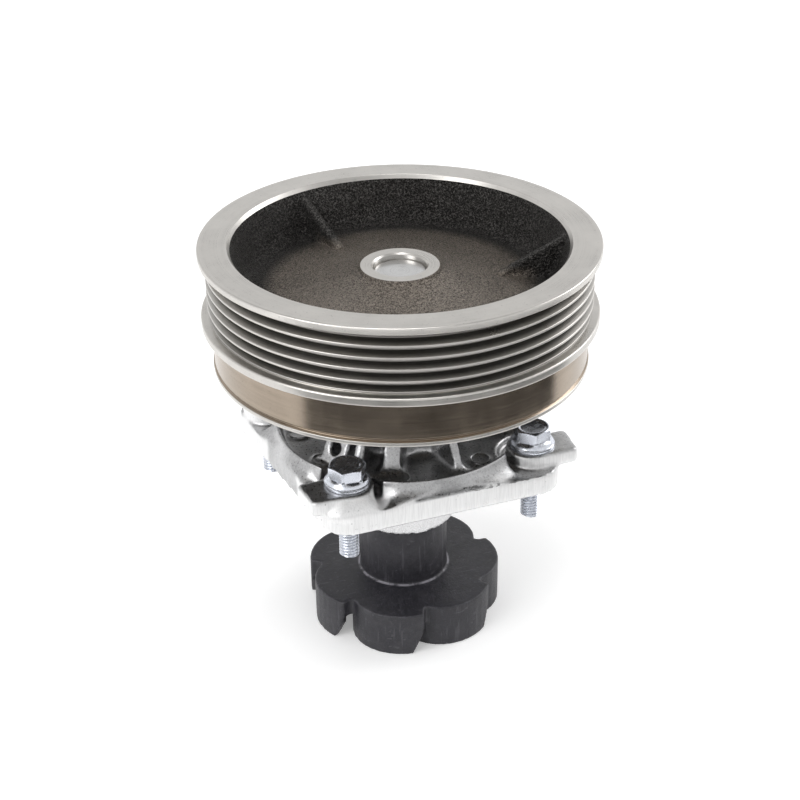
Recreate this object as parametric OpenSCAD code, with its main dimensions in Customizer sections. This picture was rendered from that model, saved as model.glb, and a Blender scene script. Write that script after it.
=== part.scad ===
// Engine coolant pump with a ribbed belt pulley, a bolt-down housing and a long plastic impeller.
// Millimetres. The origin is on the shaft axis in the plane of the flange's mounting face, and +Z runs up
// the shaft to the pulley. +Y points to the flange's wide rear edge.

/* [Pulley] */
// Diameter over the top flange
pulley_d = 118.2; // [112:0.1:142]
// Height of the whole rim
pulley_h = 37.6; // [34:0.1:46]
// Height of the rim's lower edge above the mounting face
pulley_z = 33.9; // [30:0.1:45]
// Number of belt grooves
groove_count = 5; // [3:1:6]
// Distance from groove to groove
groove_pitch = 3.56; // [3.2:0.02:3.7]
// Depth of a groove below the crests
groove_depth = 2.9; // [2:0.1:3.2]
// Width of the flat at the bottom of a groove
groove_floor = 0.8; // [0.5:0.1:1]
// Height that the flanges stand above the crests
flange_rise = 1.0; // [0.6:0.1:2]
// Height of the top flange's outer band
top_flange_h = 1.9; // [1:0.1:3]
// Height of the middle flange's outer band
mid_flange_h = 2.4; // [1:0.1:3]
// Depth of the flat back-of-belt track below the crests
track_drop = 1.15; // [0.6:0.05:3]
// Height of the small lip under the track
lip_h = 1.5; // [1:0.1:3]
// Width of the machined face on top of the rim
rim_face_w = 8.7; // [6:0.1:11]
// Wall between the track and the hollow underside
rim_wall = 5; // [3.5:0.1:7]
// Depth of the dish below the rim's top face
dish_depth = 13.5; // [11:0.1:18]
// Radius of the fillet between the dish's wall and its floor
dish_fillet = 5; // [3:0.5:8]
// Inward lean of the dish's wall, in degrees
dish_draft = 18; // [5:1:25]
// Thickness of the web under the dish
web_t = 5.5; // [4:0.1:8]
// Diameter of the machined ring round the shaft
hub_ring_d = 23.7; // [21:0.1:28]
// Rise of the hub ring above the dish's floor
hub_rise = 5; // [2:0.1:8]
// Length of the hub below the web
hub_skirt = 5; // [2:0.1:5]
// Number of triangular webs in the dish
web_count = 3; // [3:1:6]
// Thickness of a triangular web
web_plate_t = 3; // [2:0.1:5]
// Direction of the first triangular web
web_turn = 107; // [0:1:359]

/* [Shaft and bearing] */
// Diameter of the bearing's shaft
shaft_d = 15.9; // [14:0.1:16.5]
// Diameter of the shaft's lower end, which carries the seal and the impeller
tail_d = 12.6; // [11:0.1:13.5]
// Depth of the shaft's end below the hub ring
shaft_recess = 1.9; // [0.5:0.1:3]
// Outer diameter of the bearing
bearing_d = 30; // [29:0.1:34]
// Length of the bearing
bearing_len = 38.9; // [36:0.1:42]
// Height of the bearing above the tower
bearing_stand = 1.5; // [0.5:0.1:2]
// Thickness of a bearing seal
bearing_seal_t = 1.2; // [0.8:0.1:2]
// Diameter of a ball
ball_d = 5.56; // [4.8:0.02:6]
// Number of balls
ball_count = 8; // [6:1:9]
// Diameter of a roller
roller_d = 5; // [4:0.1:5.2]
// Length of a roller
roller_len = 9; // [6:0.5:11]
// Number of rollers
roller_count = 10; // [8:1:11]

/* [Housing] */
// Thickness of the flange plate
plate_t = 6.5; // [5:0.1:9]
// Distance from the axis to the flange's front edge
plate_front = 40.5; // [38:0.1:48]
// Distance from the axis to the flange's rear edge
plate_rear = 36.5; // [33:0.1:46]
// Half width of the flange at its front edge
plate_half_front = 37.2; // [35:0.1:44]
// Half width of the flange at its rear edge
plate_half_rear = 43.6; // [42:0.1:54]
// Radius of the flange's corners
plate_corner = 8; // [4:0.5:9]
// Spacing of the two front bolts
front_bolts = 58.6; // [56:0.1:62]
// Sideways shift of the two front bolts from the axis
front_bolt_shift = 1.3; // [-2:0.1:2]
// Distance from the axis to the line of the front bolts
front_bolt_y = 29.3; // [28:0.1:31]
// Spacing of the two rear bolts
rear_bolts = 70; // [68:0.1:76]
// Distance from the axis to the line of the rear bolts
rear_bolt_y = 25.5; // [24:0.1:28]
// Height of the bolt pads above the plate
pad_rise = 4.5; // [2:0.1:7]
// Radius of a bolt pad
pad_r = 7.8; // [7.2:0.1:9]
// Half width over the square ears of the front bolts
ear_half = 41.7; // [39:0.1:46]
// Radius of the round drum on the plate
drum_r = 40.3; // [38:0.1:48]
// Height of the drum's rim above the mounting face
drum_h = 12; // [10:0.1:16]
// Width of the drum's rim
drum_rim = 2.2; // [1.5:0.1:4]
// Depth of the recess inside the drum's rim
recess_depth = 3; // [1.5:0.1:4]
// Width of the moat round each bolt pad
pad_moat = 2.4; // [1.5:0.1:3]
// Radius of the bearing tower at its top
tower_r = 18.6; // [18.4:0.1:22]
// Gap between the tower and the pulley's hub
tower_gap = 3.5; // [2.5:0.1:6]
// Radius that the tall ribs reach on the drum's floor
rib_foot_r = 34.5; // [28:0.5:36]
// Lean of a rib's outer edge, in degrees from the axis
rib_lean = 28; // [20:1:32]
// Thickness of a thin rib
rib_t = 2.6; // [2:0.1:4]
// Radius of the nose that holds the seal
nose_r = 16.4; // [15.6:0.1:19]
// Length of the seal's nose
nose_len = 21.5; // [19:0.1:24]
// Diameter of the drain hole
drain_d = 3.8; // [2:0.1:4.5]
// Diameter of a round ejector mark on the recess floor
mark_d = 6.4; // [3:0.1:8]
// Section diameter of the O-ring in the mounting face
o_ring_d = 3; // [2:0.1:3.5]
// Mean radius of the O-ring
o_ring_r = 34.3; // [24:0.1:35]

/* [Bolts] */
// Thread diameter of a flange bolt
bolt_d = 6; // [5:0.1:6.4]
// Length of a flange bolt under its head
bolt_len = 25; // [18:0.5:35]
// Length of a bolt's thread
thread_len = 14; // [8:0.5:16]
// Diameter of a bolt's flange
bolt_flange_d = 13.7; // [12:0.1:14.2]
// Width of a bolt's hexagon across its flats
bolt_hex = 10; // [8:0.1:10.5]
// Height of a bolt's head
bolt_head_h = 6.4; // [5:0.1:8]

/* [Impeller] */
// Radius at the tips of the vanes
impeller_r = 31.3; // [26:0.1:38]
// Depth of the notch behind each tip
notch_depth = 4.7; // [2:0.1:5]
// Number of vanes
vane_count = 7; // [5:1:8]
// Height from the mounting face down to the top of the impeller's disc
disc_drop = 42; // [38:0.1:52]
// Thickness of the disc
disc_t = 5.8; // [4:0.1:7]
// Height of the vanes below the disc
vane_h = 8.7; // [7:0.1:14]
// Rounding off of each lobe at its tip
tip_drop = 1.1; // [0:0.1:2]
// Thickness of a vane
vane_t = 2.4; // [1.8:0.1:3]
// Slant of a vane's outer end from top to bottom
vane_slant = 4; // [1:0.1:6]
// Radius of the neck
neck_r = 13.9; // [12.6:0.1:15]
// Gap between the neck and the seal's nose
neck_gap = 0.7; // [0.5:0.1:2]
// Radius of the metal bush inside the neck
bush_r = 9.4; // [8.6:0.1:10]
// Direction of the first vane tip
vane_turn = 4; // [0:1:51]

/* [Hidden] */
$fn = 96;

// Clearances. Rolling parts run with bearing_play, the other turning parts with running_gap.
bearing_play = 0.04;
running_gap = 0.35;
seal_face_gap = 0.05;
bolt_hole_gap = 0.3;
pocket_gap = 0.08;
edge = 0.5;
overlap = 0.4;

// Pulley
pulley_r = pulley_d / 2;
crest_r = pulley_r - 2;
flange_outer_r = crest_r + 2 * flange_rise;
groove_r = crest_r - groove_depth;
track_r = crest_r - track_drop;
groove_tan = tan(20);
groove_mouth = groove_floor + 2 * groove_depth * groove_tan;
rim_top = pulley_z + pulley_h;
flange_bevel = 1.3;
grooves_top = rim_top - top_flange_h - flange_bevel;
grooves_end = grooves_top - (groove_count - 1) * groove_pitch - groove_mouth;
mid_notch = 0.7;
mid_top = grooves_end - mid_notch;
mid_bottom = mid_top - mid_flange_h;
dish_r = pulley_r - rim_face_w;
dish_z = rim_top - dish_depth;
dish_foot_r = dish_r - dish_depth * tan(dish_draft);
underside_r = track_r - rim_wall;
web_z = dish_z - web_t;
hub_r = hub_ring_d / 2 + 1.2;
hub_cone_r = 22.5;
hub_z = web_z - hub_skirt;
hub_top = dish_z + hub_rise;
web_foot_r = 29.3;
web_top = rim_top - 3;

// Shaft and bearing
shaft_r = shaft_d / 2;
tail_r = tail_d / 2;
shaft_top = hub_top - shaft_recess;
bearing_r = bearing_d / 2;
tower_top = hub_z - tower_gap;
bearing_top = tower_top + bearing_stand;
bearing_z = bearing_top - bearing_len;
ball_r = ball_d / 2;
ball_pitch_r = shaft_r - 0.5 + bearing_play + ball_r;
ball_z = bearing_top - 8.5;
roller_r = roller_d / 2;
roller_pitch_r = shaft_r + bearing_play + roller_r;
roller_z = bearing_z + 5.4 + roller_len / 2;
race_r = roller_pitch_r + roller_r + bearing_play;
land_r = race_r - 0.6;
cage_in_r = shaft_r + 0.9;
cage_out_r = land_r - 0.8;
bearing_seal_r = race_r + 0.2;
tail_top = bearing_z - 2.6;

// Housing
floor_z = drum_h - recess_depth;
pad_top = plate_t + pad_rise;
bolt_hole_r = bolt_d / 2 + bolt_hole_gap;
pad_points = [
    [front_bolt_shift - front_bolts / 2, -front_bolt_y],
    [front_bolt_shift + front_bolts / 2, -front_bolt_y],
    [rear_bolts / 2, rear_bolt_y],
    [-rear_bolts / 2, rear_bolt_y]
];
ear_taper = (plate_half_rear - plate_half_front) / (plate_front + plate_rear);
ear_front = pad_r - 0.3;
ear_rear = pad_r - 3;
chamber_r = nose_r - 3.1;
rib_head_r = tower_r + 1;
rib_head_z = min(floor_z + (rib_foot_r - rib_head_r) / tan(rib_lean), tower_top - 3);
thin_ribs = [-80, -135, -25, 38, 90, 142];
wide_rib_turn = -117;
wide_rib_t = 5;
drain_turn = -152;
drain_boss_t = 9;
drain_boss_r = rib_foot_r - 2;
drain_r = drain_boss_r - 2.5;
drain_z = floor_z + (drain_boss_r - drain_r) / tan(rib_lean);
mark_r = (rib_foot_r + tower_r) / 2 + 5.5;
mark_turns = [-112, -64, -159, 14, 62, 115, 170];
mark_h = 0.3;
o_groove_depth = o_ring_d * 0.75;

// Seal
seal_top = -1.6;
seal_sheet = 0.8;
seat_base = -nose_len + 0.4;
gasket_r = tail_r + 1.9;
seat_r = chamber_r - 2.1;
seat_h = 4.5;
gasket_foot = 1.4;
seat_top = seat_base + gasket_foot + seat_h;
carbon_in_r = gasket_r + 0.3;
carbon_out_r = seat_r - 0.6;
carbon_h = 4.2;
carbon_z = seat_top + seal_face_gap;
carbon_top = carbon_z + carbon_h;
bellows_in_r = tail_r + 0.7;
bellows_wall = 1.1;
cup_lid_z = seal_top - seal_sheet;
cup_z = carbon_z + 1.5;
spring_wire = 1.1;
spring_r = bellows_in_r + bellows_wall + 0.9 + spring_wire / 2;
spring_turns = 2.5;

// Bolts
bolt_turns = [-3.5, 16.8, 40, 22];
bolt_rim_h = 1.2;
shank_relief = 0.4;
bolt_cone_h = 1.1;

// Impeller
disc_top = -disc_drop;
disc_bottom = disc_top - disc_t;
vane_bottom = disc_bottom - vane_h;
neck_top = -nose_len - neck_gap;
lobe_span = 360 / vane_count;
lobe_sweep = 0.92 * lobe_span;
lobe_power = 3;
vane_root_r = bush_r + 3;
vane_sweep = lobe_sweep * pow((impeller_r - vane_root_r) / notch_depth, 1 / lobe_power);
bush_top = neck_top - 1.5;
bush_bottom = disc_bottom - 4.5;
hub_boss_r = bush_r + 2.2;
tail_bottom = bush_bottom - 1;

// Points of an arc about (x, y), from angle a to angle b.
function arc(x, y, r, a, b, steps = 6) =
    [for (i = [0:steps]) let(t = a + (b - a) * i / steps) [x + r * cos(t), y + r * sin(t)]];

function turned(r, a) = [r * cos(a), r * sin(a)];

// A washer-like solid of revolution between two radii and two heights.
module ring(r_in, r_out, z0, z1) {
    rotate_extrude()
        translate([r_in, z0])
            square([r_out - r_in, z1 - z0]);
}

// ---- Pulley ----

// One belt groove, from its upper mouth corner to its lower one.
function groove(z) = [
    [crest_r, z],
    [groove_r, z - groove_depth * groove_tan],
    [groove_r, z - groove_depth * groove_tan - groove_floor],
    [crest_r, z - groove_mouth]
];

function grooves() =
    [for (i = [0:groove_count - 1]) for (p = groove(grooves_top - i * groove_pitch)) p];

dish_fillet_x = dish_foot_r - dish_fillet * tan((90 - dish_draft) / 2);

module pulley_outline() {
    polygon(concat(
        [[dish_r, rim_top], [pulley_r - edge, rim_top], [pulley_r, rim_top - edge]],
        [[pulley_r, rim_top - top_flange_h]],
        grooves(),
        [[crest_r - mid_notch, mid_top + mid_notch / 2], [flange_outer_r - edge, mid_top]],
        [[flange_outer_r, mid_top - edge], [flange_outer_r, mid_bottom + edge]],
        [[flange_outer_r - edge, mid_bottom], [track_r, mid_bottom - 1]],
        [[track_r, pulley_z + lip_h + 0.8], [track_r - 0.6, pulley_z + lip_h + 0.5]],
        [[track_r - 0.6, pulley_z + lip_h], [track_r + 0.4, pulley_z + lip_h - 0.3]],
        [[track_r + 0.4, pulley_z + edge], [track_r, pulley_z], [underside_r + edge, pulley_z]],
        [[underside_r, pulley_z + edge]],
        arc(underside_r - 3, web_z - 3, 3, 0, 90),
        [[hub_r + 2, web_z], [hub_r, web_z - 2], [hub_r, hub_z], [shaft_r, hub_z]],
        [[shaft_r, hub_top - edge], [shaft_r + edge, hub_top], [hub_ring_d / 2, hub_top]],
        [[hub_ring_d / 2 + 0.3, hub_top - 0.8], [hub_cone_r, dish_z + 0.6], [hub_cone_r + 3, dish_z]],
        arc(dish_fillet_x, dish_z + dish_fillet, dish_fillet, -90, -dish_draft),
        [[dish_r - 1, rim_top - 1]]
    ));
}

module dish_webs() {
    for (i = [0:web_count - 1])
        rotate([90, 0, web_turn + i * 360 / web_count])
            translate([0, 0, -web_plate_t / 2])
                linear_extrude(web_plate_t)
                    polygon([
                        [web_foot_r, dish_z - overlap],
                        [web_foot_r, dish_z + 0.4],
                        [dish_r - 2.2, web_top],
                        [dish_r + overlap, web_top],
                        [dish_r + overlap, dish_z - overlap]
                    ]);
}

module pulley() {
    color("#8f8d89") {
        rotate_extrude()
            pulley_outline();
        dish_webs();
    }
}

// ---- Shaft and bearing ----

module shaft() {
    color("#c4c6c8")
        difference() {
            union() {
                translate([0, 0, tail_top])
                    cylinder(r = shaft_r, h = shaft_top - edge - tail_top);
                translate([0, 0, shaft_top - edge])
                    cylinder(r1 = shaft_r, r2 = shaft_r - edge, h = edge);
                translate([0, 0, tail_bottom])
                    cylinder(r = tail_r, h = tail_top - tail_bottom);
            }
            translate([0, 0, ball_z])
                ball_race();
        }
}

// The round-bottomed track that the balls roll in, cut from the shaft and from the sleeve.
module ball_race() {
    rotate_extrude()
        translate([ball_pitch_r, 0])
            circle(r = ball_r + bearing_play);
}

module bearing_sleeve() {
    color("#a9abad")
        difference() {
            translate([0, 0, bearing_z])
                cylinder(r = bearing_r, h = bearing_len);
            translate([0, 0, bearing_z - 1])
                cylinder(r = land_r, h = bearing_len + 2);
            ring(0, race_r, roller_z - roller_len / 2 - 0.6, roller_z + roller_len / 2 + 0.6);
            ring(0, bearing_seal_r, bearing_z - 1, bearing_z + bearing_seal_t + 0.3);
            ring(0, bearing_seal_r, bearing_top - bearing_seal_t - 0.3, bearing_top + 1);
            translate([0, 0, ball_z])
                ball_race();
        }
}

module bearing_balls() {
    color("#d8dadc")
        for (i = [0:ball_count - 1])
            rotate(i * 360 / ball_count)
                translate([ball_pitch_r, 0, ball_z])
                    sphere(r = ball_r);
}

module ball_cage() {
    color("#5b4a33")
        difference() {
            ring(cage_in_r, cage_out_r, ball_z - ball_r - 1, ball_z + ball_r + 1);
            for (i = [0:ball_count - 1])
                rotate(i * 360 / ball_count)
                    translate([ball_pitch_r, 0, ball_z])
                        sphere(r = ball_r + pocket_gap);
        }
}

module bearing_rollers() {
    color("#d8dadc")
        for (i = [0:roller_count - 1])
            rotate(i * 360 / roller_count)
                translate([roller_pitch_r, 0, roller_z - roller_len / 2])
                    cylinder(r = roller_r, h = roller_len);
}

module roller_cage() {
    color("#5b4a33")
        difference() {
            ring(cage_in_r, cage_out_r, roller_z - roller_len / 2 - 1.5, roller_z + roller_len / 2 + 1.5);
            for (i = [0:roller_count - 1])
                rotate(i * 360 / roller_count)
                    translate([roller_pitch_r, 0, roller_z - roller_len / 2 - pocket_gap])
                        cylinder(r = roller_r + pocket_gap, h = roller_len + 2 * pocket_gap);
        }
}

module bearing_seal(z) {
    color("#2b2a2a")
        ring(shaft_r + running_gap, bearing_seal_r, z, z + bearing_seal_t);
}

module outer_bearing_seal() {
    bearing_seal(bearing_top - bearing_seal_t);
}

module inner_bearing_seal() {
    bearing_seal(bearing_z);
}

// ---- Housing ----

// The flange plate, a trapezium with round corners that is wider at the rear.
module plate_outline() {
    c = plate_corner;
    xf = plate_half_front - c;
    xr = plate_half_rear - c;
    yf = c - plate_front;
    yr = plate_rear - c;
    lean = atan((plate_half_rear - plate_half_front) / (plate_front + plate_rear));
    polygon(concat(
        arc(xf, yf, c, -90, -lean),
        arc(xr, yr, c, -lean, 90),
        arc(-xr, yr, c, 90, 180 + lean),
        arc(-xf, yf, c, 180 + lean, 270)
    ));
}

// Half width over an ear at a place y. The rear ears end flush with the plate's sides.
function ear_reach(y) = y < 0
    ? ear_half + (y + front_bolt_y) * ear_taper
    : plate_half_front + (y + plate_front) * ear_taper - 0.3;

// A round bolt pad with a square ear that runs outward along X.
module pad_outline(p) {
    side = p[0] > 0 ? 1 : -1;
    way = p[1] > 0 ? 1 : -1;
    y0 = p[1] + way * ear_front;
    y1 = p[1] - way * ear_rear;
    x0 = side * ear_reach(y0);
    x1 = side * ear_reach(y1);
    corner = way > 0 ? plate_corner - 3 : 1;
    translate(p)
        circle(r = pad_r);
    polygon([
        [p[0], y0],
        [x0 - side * corner, y0],
        [x0, y0 - way * corner],
        [x1, y1 + way],
        [x1 - side, y1],
        [p[0], y1]
    ]);
}

module pads() {
    for (p = pad_points)
        linear_extrude(pad_top)
            pad_outline_low(p);
    for (p = pad_points)
        translate([0, 0, plate_t])
            linear_extrude(pad_rise)
                pad_outline(p);
}

// The foot of a pad, which stays inside the plate.
module pad_outline_low(p) {
    translate(p)
        circle(r = pad_r);
}

module drum() {
    difference() {
        cylinder(r1 = drum_r, r2 = drum_r - 0.5, h = drum_h);
        translate([0, 0, floor_z])
            cylinder(r1 = drum_r - drum_rim - 1, r2 = drum_r - drum_rim, h = recess_depth + 1);
        for (p = pad_points)
            translate([p[0], p[1], plate_t])
                cylinder(r = pad_r + pad_moat, h = drum_h);
    }
}

// A tall rib: a plate in the plane of the axis, with a leaning outer edge.
module rib(turn, t, foot_r) {
    rotate([90, 0, turn])
        translate([0, 0, -t / 2])
            linear_extrude(t)
                polygon([
                    [tower_r - 2, floor_z - overlap],
                    [foot_r + overlap * tan(rib_lean), floor_z - overlap],
                    [foot_r - (rib_head_z - floor_z) * tan(rib_lean), rib_head_z],
                    [tower_r - 2, rib_head_z]
                ]);
}

module ribs() {
    for (a = thin_ribs)
        rib(a, rib_t, rib_foot_r);
    rib(wide_rib_turn, wide_rib_t, rib_foot_r - 4.5);
    rib(drain_turn, drain_boss_t, drain_boss_r);
}

module ejector_marks() {
    for (a = mark_turns)
        translate(concat(turned(mark_r, a), floor_z - overlap))
            cylinder(r = mark_d / 2, h = mark_h + overlap);
}

// The drain runs square to the boss's leaning face, down into the seal chamber.
module drain() {
    rotate([0, 0, drain_turn])
        translate([drain_r, 0, drain_z])
            rotate([0, -90 - rib_lean, 0])
                translate([0, 0, -4])
                    cylinder(d = drain_d, h = 4 + (drain_r - chamber_r + 2) / cos(rib_lean));
}

module housing() {
    color("#d5d6d6")
        difference() {
            union() {
                linear_extrude(plate_t)
                    plate_outline();
                drum();
                pads();
                cylinder(r1 = tower_r + 0.8, r2 = tower_r, h = tower_top);
                ribs();
                ejector_marks();
                translate([0, 0, -nose_len])
                    cylinder(r = nose_r, h = nose_len);
            }
            translate([0, 0, bearing_z])
                cylinder(r = bearing_r, h = bearing_len);
            translate([0, 0, -nose_len - 1])
                cylinder(r = chamber_r, h = nose_len + bearing_z + 2);
            for (p = pad_points)
                translate([p[0], p[1], -1])
                    cylinder(r = bolt_hole_r, h = pad_top + 2);
            ring(o_ring_r - o_ring_d * 0.6, o_ring_r + o_ring_d * 0.6, -1, o_groove_depth);
            drain();
        }
}

module flange_o_ring() {
    color("#1d1c1c")
        rotate_extrude()
            intersection() {
                translate([o_ring_r, o_groove_depth / 2])
                    circle(d = o_ring_d);
                translate([o_ring_r - o_ring_d, 0])
                    square([2 * o_ring_d, o_groove_depth]);
            }
}

// ---- Mechanical seal and slinger ----

module seal_cup() {
    color("#b9a36a")
        rotate_extrude()
            polygon([
                [chamber_r, cup_z],
                [chamber_r, seal_top],
                [bellows_in_r, seal_top],
                [bellows_in_r, cup_lid_z],
                [chamber_r - seal_sheet, cup_lid_z],
                [chamber_r - seal_sheet, cup_z]
            ]);
}

module seal_bellows() {
    color("#232222")
        rotate_extrude()
            polygon([
                [bellows_in_r, cup_lid_z],
                [bellows_in_r, carbon_top],
                [carbon_out_r, carbon_top],
                [carbon_out_r, carbon_top + 1],
                [bellows_in_r + bellows_wall, carbon_top + 1],
                [bellows_in_r + bellows_wall, cup_lid_z - 1],
                [carbon_out_r, cup_lid_z - 1],
                [carbon_out_r, cup_lid_z]
            ]);
}

module seal_carbon_ring() {
    color("#3a3a3c")
        ring(carbon_in_r, carbon_out_r, carbon_z, carbon_top);
}

// A round wire wound into a helix, swept as rings of points.
module seal_spring() {
    z0 = carbon_top + 1.05 + spring_wire / 2;
    z1 = cup_lid_z - 1.05 - spring_wire / 2;
    sides = 8;
    steps = 24 * spring_turns;
    points = [
        for (i = [0:steps])
            let(a = 360 * spring_turns * i / steps, z = z0 + (z1 - z0) * i / steps)
            for (j = [0:sides - 1])
                let(b = 360 * j / sides, r = spring_r + spring_wire / 2 * cos(b))
                [r * cos(a), r * sin(a), z + spring_wire / 2 * sin(b)]
    ];
    faces = concat(
        [[for (j = [0:sides - 1]) j]],
        [
            for (i = [0:steps - 1])
                for (j = [0:sides - 1])
                    let(k = (j + 1) % sides, a = i * sides, b = a + sides)
                    [a + j, b + j, b + k, a + k]
        ],
        [[for (j = [sides - 1:-1:0]) steps * sides + j]]
    );
    color("#9fa3a6")
        polyhedron(points, faces, convexity = 6);
}

module seal_seat_ring() {
    color("#e4e0d6")
        ring(gasket_r, seat_r, seat_base + gasket_foot, seat_top);
}

module seal_seat_gasket() {
    color("#232222")
        rotate_extrude()
            polygon([
                [tail_r, seat_base],
                [seat_r - 0.5, seat_base],
                [seat_r - 0.5, seat_base + gasket_foot],
                [gasket_r, seat_base + gasket_foot],
                [gasket_r, seat_top - 0.8],
                [tail_r, seat_top - 0.8]
            ]);
}

module slinger() {
    color("#2b2a2a")
        ring(tail_r, chamber_r - 1.6, tail_top - 1.4, tail_top - 0.2);
}

// ---- Impeller ----

// Radius of a lobe at an angle a behind its tip: full at first, then falling away to the notch.
function lobe_r(a) = let(f = a / lobe_sweep)
    impeller_r - notch_depth * pow(f, lobe_power) - tip_drop * pow(max(0, 1 - f), 4);

// Point of a vane's outer face at an angle a behind its tip, moved in square to the face by t.
function vane_point(tip, a, t) = let(
    p = turned(lobe_r(a), tip - a),
    q = turned(lobe_r(a + 0.5), tip - a - 0.5),
    d = (q - p) / norm(q - p)
) p + t * [d[1], -d[0]];

function lobe(i) = let(tip = vane_turn - i * lobe_span) concat(
    [turned(lobe_r(0) - 0.5, tip + 0.6)],
    [for (k = [0:9]) let(a = lobe_sweep * k / 9) turned(lobe_r(a), tip - a)],
    [turned(impeller_r - notch_depth, tip - lobe_sweep - 1.6)],
    [turned(impeller_r - notch_depth + 1.2, tip - lobe_span + 1.2)]
);

module disc_outline() {
    polygon([for (i = [0:vane_count - 1]) for (p = lobe(i)) p]);
}

// A vane starts along the lobe's edge and spirals in to the hub.
module vane_outline(i) {
    tip = vane_turn - i * lobe_span;
    steps = 14;
    polygon(concat(
        [for (k = [0:steps]) vane_point(tip, vane_sweep * k / steps, 0)],
        [for (k = [steps:-1:0]) vane_point(tip, vane_sweep * k / steps, vane_t)]
    ));
}

// The wedge that slants a vane's outer end.
module vane_end_cut(i) {
    rotate([90, 0, vane_turn - i * lobe_span + 90])
        translate([0, 0, impeller_r - vane_t * 2.5])
            linear_extrude(vane_t * 3)
                polygon([[0.8, disc_bottom], [-vane_slant, vane_bottom - 1], [2, vane_bottom - 1]]);
}

module impeller() {
    color("#2e2d31")
        difference() {
            union() {
                translate([0, 0, disc_bottom])
                    linear_extrude(disc_t)
                        disc_outline();
                for (i = [0:vane_count - 1])
                    difference() {
                        translate([0, 0, vane_bottom])
                            linear_extrude(vane_h + overlap)
                                vane_outline(i);
                        vane_end_cut(i);
                    }
                translate([0, 0, disc_top - overlap])
                    cylinder(r = neck_r, h = neck_top - disc_top + overlap);
                translate([0, 0, bush_bottom - 2])
                    cylinder(r1 = hub_boss_r, r2 = hub_boss_r + 1, h = disc_bottom - bush_bottom + 2 + overlap);
            }
            translate([0, 0, bush_bottom])
                cylinder(r = bush_r, h = neck_top - bush_bottom + 1);
            translate([0, 0, tail_bottom - 2])
                cylinder(r = tail_r + 0.4, h = bush_bottom - tail_bottom + 3);
        }
}

module impeller_bush() {
    color("#a58a4a")
        ring(tail_r, bush_r, bush_bottom, bush_top);
}

// ---- Bolts ----

module flange_bolt(turn) {
    rotate(turn) {
        cylinder(d = bolt_flange_d, h = bolt_rim_h);
        translate([0, 0, bolt_rim_h])
            cylinder(d1 = bolt_flange_d - 0.8, d2 = bolt_hex + 0.6, h = bolt_cone_h);
        cylinder(r = bolt_hex / sqrt(3), h = bolt_head_h, $fn = 6);
    }
    translate([0, 0, thread_len - bolt_len - overlap])
        cylinder(d = bolt_d - shank_relief, h = bolt_len - thread_len + 2 * overlap);
    translate([0, 0, 1 - bolt_len])
        cylinder(d = bolt_d, h = thread_len - 1);
    translate([0, 0, -bolt_len])
        cylinder(d1 = bolt_d - 1.6, d2 = bolt_d, h = 1);
}

module flange_bolts() {
    color("#c9ced6")
        for (i = [0:len(pad_points) - 1])
            translate(concat(pad_points[i], pad_top))
                flange_bolt(bolt_turns[i]);
}

pulley();
shaft();
bearing_sleeve();
bearing_balls();
ball_cage();
bearing_rollers();
roller_cage();
outer_bearing_seal();
inner_bearing_seal();
housing();
seal_cup();
seal_spring();
seal_bellows();
seal_carbon_ring();
seal_seat_ring();
seal_seat_gasket();
slinger();
impeller();
impeller_bush();
flange_bolts();
flange_o_ring();
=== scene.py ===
"""Looks of an engine coolant pump: cast pulley, die-cast housing, zinc bolts and moulded impeller."""

import math

import bmesh
import bpy
import numpy as np
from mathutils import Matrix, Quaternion, Vector


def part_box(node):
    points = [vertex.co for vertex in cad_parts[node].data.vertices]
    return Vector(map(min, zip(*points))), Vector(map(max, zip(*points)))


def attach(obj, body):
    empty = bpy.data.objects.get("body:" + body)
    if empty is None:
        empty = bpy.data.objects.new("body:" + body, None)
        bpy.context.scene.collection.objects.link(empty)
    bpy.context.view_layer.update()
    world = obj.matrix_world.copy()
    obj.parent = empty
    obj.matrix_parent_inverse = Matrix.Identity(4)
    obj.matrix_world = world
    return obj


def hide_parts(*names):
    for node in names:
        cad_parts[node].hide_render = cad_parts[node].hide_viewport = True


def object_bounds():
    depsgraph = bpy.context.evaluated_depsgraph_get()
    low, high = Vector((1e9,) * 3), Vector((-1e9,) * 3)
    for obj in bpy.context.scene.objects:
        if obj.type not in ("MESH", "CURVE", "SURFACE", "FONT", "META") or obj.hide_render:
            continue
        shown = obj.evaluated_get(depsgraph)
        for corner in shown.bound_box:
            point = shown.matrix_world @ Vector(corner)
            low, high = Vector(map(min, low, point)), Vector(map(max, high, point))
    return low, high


bl_info = {
    "name": "Coolant Pump Looks",
    "version": (1, 0, 0),
    "blender": (4, 5, 0),
    "location": "3D View > Sidebar > Coolant Pump",
    "description": "Builds the visible pieces and finishes of an engine coolant pump round its CAD frame",
    "category": "Object",
}

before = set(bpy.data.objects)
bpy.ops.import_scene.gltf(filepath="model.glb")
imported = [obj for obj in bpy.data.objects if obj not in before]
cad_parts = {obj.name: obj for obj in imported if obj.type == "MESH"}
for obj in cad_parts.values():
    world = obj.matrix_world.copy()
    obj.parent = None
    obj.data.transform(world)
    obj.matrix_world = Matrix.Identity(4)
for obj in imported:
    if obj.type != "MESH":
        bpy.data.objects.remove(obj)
CAD_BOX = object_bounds()
MM = 0.001

# What each face of a piece is finished as, in the order of the piece's materials.
CAST, TURNED, GROOVE, TRACK = 0, 1, 2, 3

# The pulley's five grooves, the directions of its three webs in degrees, the lean of its dish's wall and
# the fillet between that wall and the floor, in millimetres.
GROOVES = 5
WEB_TURNS = (107, -13, -133)
DISH_LEAN = math.tan(math.radians(18))
DISH_FILLET = 5

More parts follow.
